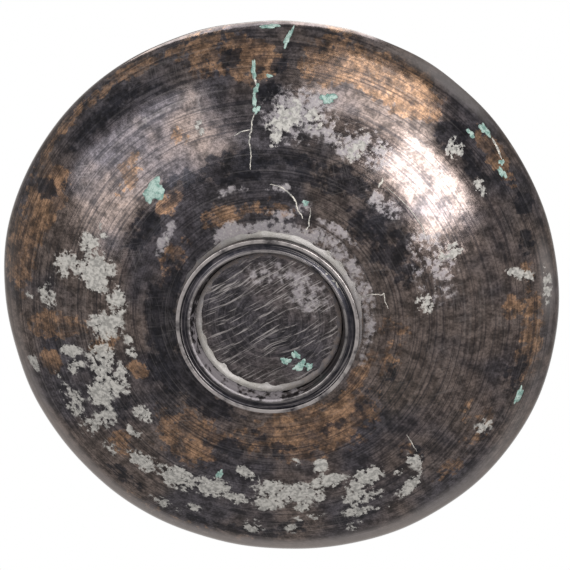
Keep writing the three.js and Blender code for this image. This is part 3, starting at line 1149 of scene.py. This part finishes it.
def camera_axes():
    """Forward, right and down of the picture: tilted off the axis, then turned clockwise by the roll."""
    forward = Vector((0, math.sin(CAMERA_TILT), math.cos(CAMERA_TILT)))
    level = Vector((1, 0, 0))
    below = Vector((0, math.cos(CAMERA_TILT), -math.sin(CAMERA_TILT)))
    right = level * math.cos(CAMERA_ROLL) - below * math.sin(CAMERA_ROLL)
    down = level * math.sin(CAMERA_ROLL) + below * math.cos(CAMERA_ROLL)
    return forward, right, down


def camera_place(sizes):
    forward, right, down = camera_axes()
    aim = Vector((0, 0, sizes.bowl_height / 2)) + right * AIM_RIGHT + down * AIM_DOWN
    return aim - forward * CAMERA_DISTANCE


def add_camera(sizes):
    forward, right, down = camera_axes()
    camera = bpy.data.objects.new("camera", bpy.data.cameras.new("camera"))
    bpy.context.scene.collection.objects.link(camera)
    camera.data.lens = CAMERA_LENS
    camera.data.sensor_width = 36
    camera.data.clip_start = 0.01
    turn = Matrix((right, -down, -forward)).transposed()
    camera.matrix_world = Matrix.Translation(camera_place(sizes)) @ turn.to_4x4()
    bpy.context.scene.camera = camera


def add_softbox(name, middle, target, across, width, height, radiance):
    """A rectangular lamp that faces a target, its power in proportion to its area."""
    lamp = bpy.data.lights.new(name, "AREA")
    lamp.shape = "RECTANGLE"
    lamp.size, lamp.size_y = width, height
    lamp.energy = 4 * radiance * width * height
    box = bpy.data.objects.new(name, lamp)
    bpy.context.scene.collection.objects.link(box)
    back = (middle - target).normalized()
    side = (across - back * across.dot(back)).normalized()
    turn = Matrix((side, back.cross(side), back)).transposed()
    box.matrix_world = Matrix.Translation(middle) @ turn.to_4x4()
    box.visible_camera = False


def seen_in_wall(sizes, angle, radius):
    """The wall point, and where the camera's ray goes once the wall has mirrored it: v - 2 (v.n) n."""
    place, normal = wall_place(sizes, np.array([math.radians(angle)]), np.array([radius * MM]))
    place, normal = Vector(place[0]), Vector(normal[0])
    view = (place - camera_place(sizes)).normalized()
    return place, place + (view - normal * 2 * view.dot(normal)) * MIRRORED_REACH


def add_mirrored_softbox(sizes, name, edges, radiance):
    """Stands a softbox where its reflection fills the given angles and radii of the wall."""
    from_angle, to_angle, from_radius, to_radius = edges
    angle, radius = (from_angle + to_angle) / 2, (from_radius + to_radius) / 2
    target, middle = seen_in_wall(sizes, angle, radius)
    left, right = (seen_in_wall(sizes, edge, radius)[1] for edge in (from_angle, to_angle))
    near, far = (seen_in_wall(sizes, angle, edge)[1] for edge in (from_radius, to_radius))
    add_softbox(name, middle, target, right - left, (right - left).length, (far - near).length, radiance)


def add_floor():
    """A pale floor just under the foot, solid from above and clear from below."""
    half, drop = FLOOR_HALF, -FLOOR_DROP
    mesh = bpy.data.meshes.new("floor")
    corners = [(-half, -half, drop), (half, -half, drop), (half, half, drop), (-half, half, drop)]
    mesh.from_pydata(corners, [], [(0, 1, 2, 3)])
    floor = bpy.data.objects.new("floor", mesh)
    bpy.context.scene.collection.objects.link(floor)
    material = bpy.data.materials.new("pale_floor")
    material.use_nodes = True
    tree = material.node_tree
    tree.nodes.clear()
    solid = add_node(tree, "ShaderNodeBsdfDiffuse", {"Color": (0.86, 0.86, 0.85)})
    clear = add_node(tree, "ShaderNodeBsdfTransparent")
    mix = add_node(tree, "ShaderNodeMixShader")
    put(tree, mix.inputs[0], add_node(tree, "ShaderNodeNewGeometry").outputs["Backfacing"])
    put(tree, mix.inputs[1], solid.outputs[0])
    put(tree, mix.inputs[2], clear.outputs[0])
    put(tree, add_node(tree, "ShaderNodeOutputMaterial").inputs[0], mix.outputs[0])
    mesh.materials.append(material)
    floor.visible_shadow = False
    floor.visible_glossy = False
    floor.visible_diffuse = False


def set_world():
    """White to the camera and in reflections, dimmer as light."""
    world = bpy.data.worlds.new("studio")
    bpy.context.scene.world = world
    world.use_nodes = True
    tree = world.node_tree
    tree.nodes.clear()
    path = add_node(tree, "ShaderNodeLightPath")
    seen = calculate(tree, "MAXIMUM", path.outputs["Is Camera Ray"], path.outputs["Is Glossy Ray"])
    seen = calculate(tree, "MAXIMUM", seen, path.outputs["Is Transmission Ray"])
    strength = ease(tree, seen, 0.0, 1.0, 0.35, 1.0)
    white = add_node(tree, "ShaderNodeBackground", {"Color": (1, 1, 1), "Strength": strength})
    put(tree, add_node(tree, "ShaderNodeOutputWorld").inputs[0], white.outputs[0])


class BOWL_OT_stage(bpy.types.Operator):
    """Makes the camera, the lamps, the floor and the white surroundings"""

    bl_idname = "bowl.stage"
    bl_label = "Studio"

    def execute(self, context):
        sizes = context.scene.bowl_sizes
        add_camera(sizes)
        add_mirrored_softbox(sizes, "key_softbox", KEY_REFLECTION, KEY_RADIANCE)
        add_mirrored_softbox(sizes, "side_softbox", SIDE_REFLECTION, SIDE_RADIANCE)
        add_mirrored_softbox(sizes, "top_softbox", TOP_REFLECTION, TOP_RADIANCE)
        add_softbox(
            "overhead_softbox",
            Vector(OVERHEAD_PLACE),
            Vector((0, 0, 0)),
            Vector((1, 0, 0)),
            OVERHEAD_WIDTH,
            OVERHEAD_LENGTH,
            OVERHEAD_RADIANCE,
        )
        add_floor()
        set_world()
        context.scene.view_settings.view_transform = "Standard"
        return {"FINISHED"}


class BOWL_PT_panel(bpy.types.Panel):
    """Lists the steps that make the bowl, in order"""

    bl_idname = "BOWL_PT_panel"
    bl_label = "Silver Bowl"
    bl_space_type = "VIEW_3D"
    bl_region_type = "UI"
    bl_category = "Silver Bowl"

    def draw(self, context):
        for group in (context.scene.bowl_sizes, context.scene.bowl_finish):
            for name in group.bl_rna.properties.keys():
                if name not in {"rna_type", "name"}:
                    self.layout.prop(group, name)
        for operator in OPERATORS:
            self.layout.operator(operator.bl_idname)


OPERATORS = (
    BOWL_OT_stage,
    BOWL_OT_shader_groups,
    BOWL_OT_raised_body,
    BOWL_OT_foot_ring,
    BOWL_OT_solder,
    BOWL_OT_crusts,
)
CLASSES = (BowlSizes, BowlFinish, *OPERATORS, BOWL_PT_panel)


def register():
    for each in CLASSES:
        bpy.utils.register_class(each)
    bpy.types.Scene.bowl_sizes = bpy.props.PointerProperty(type=BowlSizes)
    bpy.types.Scene.bowl_finish = bpy.props.PointerProperty(type=BowlFinish)


def unregister():
    del bpy.types.Scene.bowl_finish
    del bpy.types.Scene.bowl_sizes
    for each in reversed(CLASSES):
        bpy.utils.unregister_class(each)


def main():
    register()
    bpy.ops.bowl.stage()
    bpy.ops.bowl.shader_groups()
    bpy.ops.bowl.raised_body()
    bpy.ops.bowl.foot_ring()
    bpy.ops.bowl.solder()
    bpy.ops.bowl.crusts()


if __name__ == "__main__":
    main()
